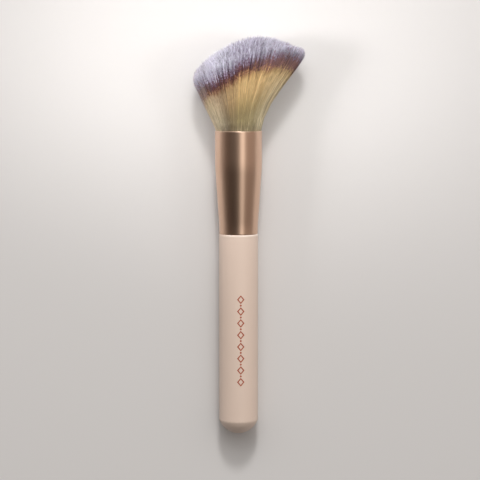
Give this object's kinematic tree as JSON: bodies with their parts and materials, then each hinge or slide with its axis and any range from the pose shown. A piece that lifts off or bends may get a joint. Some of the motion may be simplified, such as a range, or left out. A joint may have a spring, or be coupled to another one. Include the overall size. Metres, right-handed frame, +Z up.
{
  "type": "contour brush",
  "caption": "Makeup brush with a fan of dense soft fibres cut on a slant, a drawn metal ferrule and a turned round handle.",
  "frame": {"origin": "centre of the bounding box on the table that the brush lies on", "axes": "+Y towards the fibres, along the brush; +X towards the fan's long side; +Z up from the table"},
  "size_m": [0.0484, 0.1742, 0.0229],
  "materials": {
    "lacquered_wood": "satin beige lacquer",
    "champagne_metal": "drawn, anodised, semi-gloss",
    "fibres": "soft synthetic fibre, dark band and pale tips",
    "thread": "waxed thread",
    "resin": "cast resin"
  },
  "bodies": {
    "root": {"handle": "lacquered_wood", "ferrule": "champagne_metal", "bristle_head": "fibres", "binding_thread": "thread", "root_resin": "resin"}
  },
  "joints": []
}
